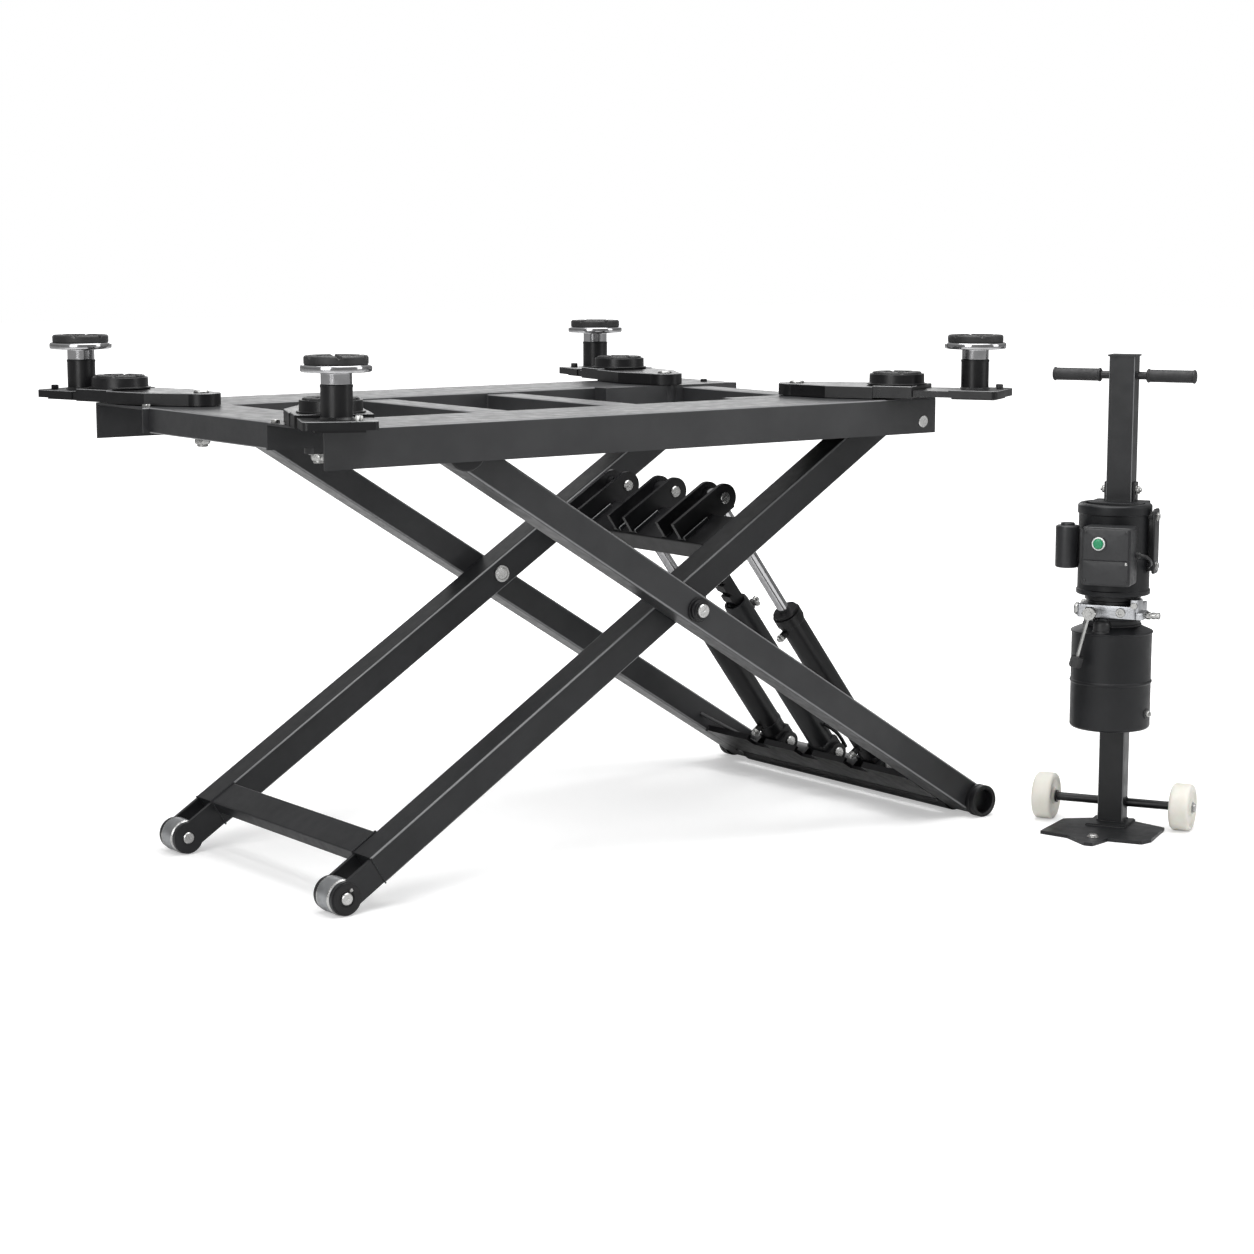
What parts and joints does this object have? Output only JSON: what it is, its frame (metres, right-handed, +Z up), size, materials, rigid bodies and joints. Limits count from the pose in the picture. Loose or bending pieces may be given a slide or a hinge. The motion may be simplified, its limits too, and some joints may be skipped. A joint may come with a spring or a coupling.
{
  "type": "portable scissor car lift",
  "caption": "Portable scissor car lift, raised, with swing arms and screw pads, and its separate power unit on a small hand truck.",
  "frame": {"origin": "on the floor, under the middle of the box round the lift and its power unit", "axes": "+X runs along the lift's rails to the end where the legs turn on the floor tube, +Y to the lift's far side, +Z up"},
  "size_m": [2.2354, 1.6078, 1.1543],
  "materials": {
    "charcoal_steel": "satin powder coat",
    "black_steel": "satin powder coat",
    "bright_steel": "machined",
    "chrome": "polished",
    "zinc": "zinc plated",
    "rubber": "moulded",
    "roller_steel": "turned",
    "nylon": "moulded",
    "motor_paint": "satin",
    "switch_plastic": "moulded",
    "button_green": "gloss",
    "valve_metal": "machined",
    "black_plastic": "moulded"
  },
  "bodies": {
    "floor": {"floor_tube": "black_steel", "lower_post": "charcoal_steel", "upper_post": "charcoal_steel", "foot_plate": "charcoal_steel", "wheel_axle": "black_steel", "handle_bar": "black_steel", "handle_grips": "rubber", "motor_housing": "motor_paint", "control_box": "switch_plastic", "capacitor_cover": "switch_plastic", "side_bracket": "black_steel", "pump_adaptor": "black_steel", "valve_block": "valve_metal", "hydraulic_fittings": "zinc", "oil_tank": "motor_paint", "filler_cap": "black_plastic", "truck_bolts": "zinc"},
    "outer_legs": {"outer_leg_near": "charcoal_steel", "outer_leg_far": "charcoal_steel", "outer_base_beam": "charcoal_steel", "strut_pins_lower": "bright_steel"},
    "inner_legs": {"inner_leg_near": "charcoal_steel", "inner_leg_far": "charcoal_steel", "inner_lower_tie": "charcoal_steel", "inner_lock_beam": "charcoal_steel", "inner_leg_pins": "bright_steel"},
    "top_frame": {"rail_near": "charcoal_steel", "rail_far": "charcoal_steel", "frame_ties": "charcoal_steel", "top_frame_pins": "zinc"},
    "slide_rollers": {"slide_rollers": "roller_steel"},
    "floor_rollers": {"floor_rollers": "roller_steel"},
    "cylinder_barrels": {"cylinder_barrels": "black_steel"},
    "cylinder_rods": {"cylinder_rods": "chrome"},
    "lock_sleeve": {"lock_sleeve": "black_steel"},
    "lock_bar": {"lock_bar": "black_steel"},
    "wheel_left": {"wheel_left": "nylon"},
    "wheel_right": {"wheel_right": "nylon"},
    "start_button": {"start_button": "button_green"},
    "release_lever": {"release_lever": "zinc"},
    "arm_near_left": {"arm_base_near_left": "black_steel", "low_pad_near_left": "rubber"},
    "slide_near_left": {"arm_slide_near_left": "black_steel"},
    "pad_near_left": {"pad_screw_near_left": "chrome", "pad_rubber_near_left": "rubber"},
    "arm_far_left": {"arm_base_far_left": "black_steel", "low_pad_far_left": "rubber"},
    "slide_far_left": {"arm_slide_far_left": "black_steel"},
    "pad_far_left": {"pad_screw_far_left": "chrome", "pad_rubber_far_left": "rubber"},
    "arm_near_right": {"arm_base_near_right": "black_steel", "low_pad_near_right": "rubber"},
    "slide_near_right": {"arm_slide_near_right": "black_steel"},
    "pad_near_right": {"pad_screw_near_right": "chrome", "pad_rubber_near_right": "rubber"},
    "arm_far_right": {"arm_base_far_right": "black_steel", "low_pad_far_right": "rubber"},
    "slide_far_right": {"arm_slide_far_right": "black_steel"},
    "pad_far_right": {"pad_screw_far_right": "chrome", "pad_rubber_far_right": "rubber"}
  },
  "joints": [
    {"name": "fold", "type": "hinge", "parent": "floor", "child": "outer_legs", "pos_m": [0.78951, 0.10471, 0.038], "axis": [0, -1, 0], "range_deg": [0, 28]},
    {"name": "centre_pivot", "type": "hinge", "parent": "outer_legs", "child": "inner_legs", "pos_m": [-0.06108, 0.10471, 0.56951], "axis": [0, 1, 0], "range_deg": [-0.5, 56.5]},
    {"name": "rail_pivot", "type": "hinge", "parent": "inner_legs", "child": "top_frame", "pos_m": [0.5563, 0.10471, 0.95529], "axis": [0, -1, 0], "range_deg": [-0.5, 28.5]},
    {"name": "slide_roller_spin", "type": "hinge", "parent": "outer_legs", "child": "slide_rollers", "pos_m": [-0.67846, 0.10471, 0.95529], "axis": [0, 1, 0], "continuous": true},
    {"name": "floor_roller_spin", "type": "hinge", "parent": "inner_legs", "child": "floor_rollers", "pos_m": [-0.91168, 0.10471, 0.038], "axis": [0, 1, 0], "continuous": true},
    {"name": "cylinder_swing", "type": "hinge", "parent": "outer_legs", "child": "cylinder_barrels", "pos_m": [0.71371, 0.10471, 0.09597], "axis": [0, -1, 0], "range_deg": [-0.5, 14.3]},
    {"name": "rod_stroke", "type": "slide", "parent": "cylinder_barrels", "child": "cylinder_rods", "axis": [0.5997, 0, -0.8002], "range_m": [-0.001, 0.26685]},
    {"name": "lock_swing", "type": "hinge", "parent": "outer_legs", "child": "lock_sleeve", "pos_m": [0.71371, 0.10471, 0.09597], "axis": [0, -1, 0], "range_deg": [-0.5, 14.3]},
    {"name": "lock_stroke", "type": "slide", "parent": "lock_sleeve", "child": "lock_bar", "axis": [0.5997, 0, -0.8002], "range_m": [-0.001, 0.26685]},
    {"name": "swing_near_left", "type": "hinge", "parent": "top_frame", "child": "arm_near_left", "pos_m": [-0.8837, -0.14529, 1.00829], "axis": [0, 0, 1], "range_deg": [-3, 90]},
    {"name": "extend_near_left", "type": "slide", "parent": "arm_near_left", "child": "slide_near_left", "axis": [-0.4131, -0.9107, 0], "range_m": [0, 0.135]},
    {"name": "raise_near_left", "type": "slide", "parent": "slide_near_left", "child": "pad_near_left", "axis": [0, 0, 1], "range_m": [0, 0.04]},
    {"name": "swing_far_left", "type": "hinge", "parent": "top_frame", "child": "arm_far_left", "pos_m": [-0.8837, 0.35471, 1.00829], "axis": [0, 0, 1], "range_deg": [-90, 7]},
    {"name": "extend_far_left", "type": "slide", "parent": "arm_far_left", "child": "slide_far_left", "axis": [-0.342, 0.9397, 0], "range_m": [-0.013, 0.122]},
    {"name": "raise_far_left", "type": "slide", "parent": "slide_far_left", "child": "pad_far_left", "axis": [0, 0, 1], "range_m": [0, 0.04]},
    {"name": "swing_near_right", "type": "hinge", "parent": "top_frame", "child": "arm_near_right", "pos_m": [0.3893, -0.14529, 1.00829], "axis": [0, 0, 1], "range_deg": [-80, 11]},
    {"name": "extend_near_right", "type": "slide", "parent": "arm_near_right", "child": "slide_near_right", "axis": [0.5, -0.866, 0], "range_m": [-0.079, 0.056]},
    {"name": "raise_near_right", "type": "slide", "parent": "slide_near_right", "child": "pad_near_right", "axis": [0, 0, 1], "range_m": [0, 0.04]},
    {"name": "swing_far_right", "type": "hinge", "parent": "top_frame", "child": "arm_far_right", "pos_m": [0.3893, 0.35471, 1.00829], "axis": [0, 0, 1], "range_deg": [-32, 80]},
    {"name": "extend_far_right", "type": "slide", "parent": "arm_far_right", "child": "slide_far_right", "axis": [0.1564, 0.9877, 0], "range_m": [-0.03, 0.105]},
    {"name": "raise_far_right", "type": "slide", "parent": "slide_far_right", "child": "pad_far_right", "axis": [0, 0, 1], "range_m": [0, 0.04]},
    {"name": "wheel_left_spin", "type": "hinge", "parent": "floor", "child": "wheel_left", "pos_m": [0.90223, -0.47138, 0.055], "axis": [0.4848, -0.8746, 0], "continuous": true},
    {"name": "wheel_right_spin", "type": "hinge", "parent": "floor", "child": "wheel_right", "pos_m": [1.06028, -0.75651, 0.055], "axis": [0.4848, -0.8746, 0], "continuous": true},
    {"name": "button_press", "type": "slide", "parent": "floor", "child": "start_button", "axis": [0.8746, 0.4848, 0], "range_m": [0, 0.0035], "stiffness_N_per_m": 800},
    {"name": "lever_turn", "type": "hinge", "parent": "floor", "child": "release_lever", "pos_m": [0.86195, -0.65035, 0.522], "axis": [-0.8746, -0.4848, 0], "range_deg": [0, 45], "stiffness_Nm_per_rad": 0.6}
  ],
  "couplings": [
    {"joint": "centre_pivot", "follows": "fold", "ratio": 2},
    {"joint": "rail_pivot", "follows": "fold", "ratio": 1},
    {"joint": "cylinder_swing", "follows": "fold", "ratio": 0.49297},
    {"joint": "lock_swing", "follows": "fold", "ratio": 0.49297},
    {"joint": "rod_stroke", "follows": "fold", "m_per_rad": 0.54401},
    {"joint": "lock_stroke", "follows": "fold", "m_per_rad": 0.54401}
  ]
}
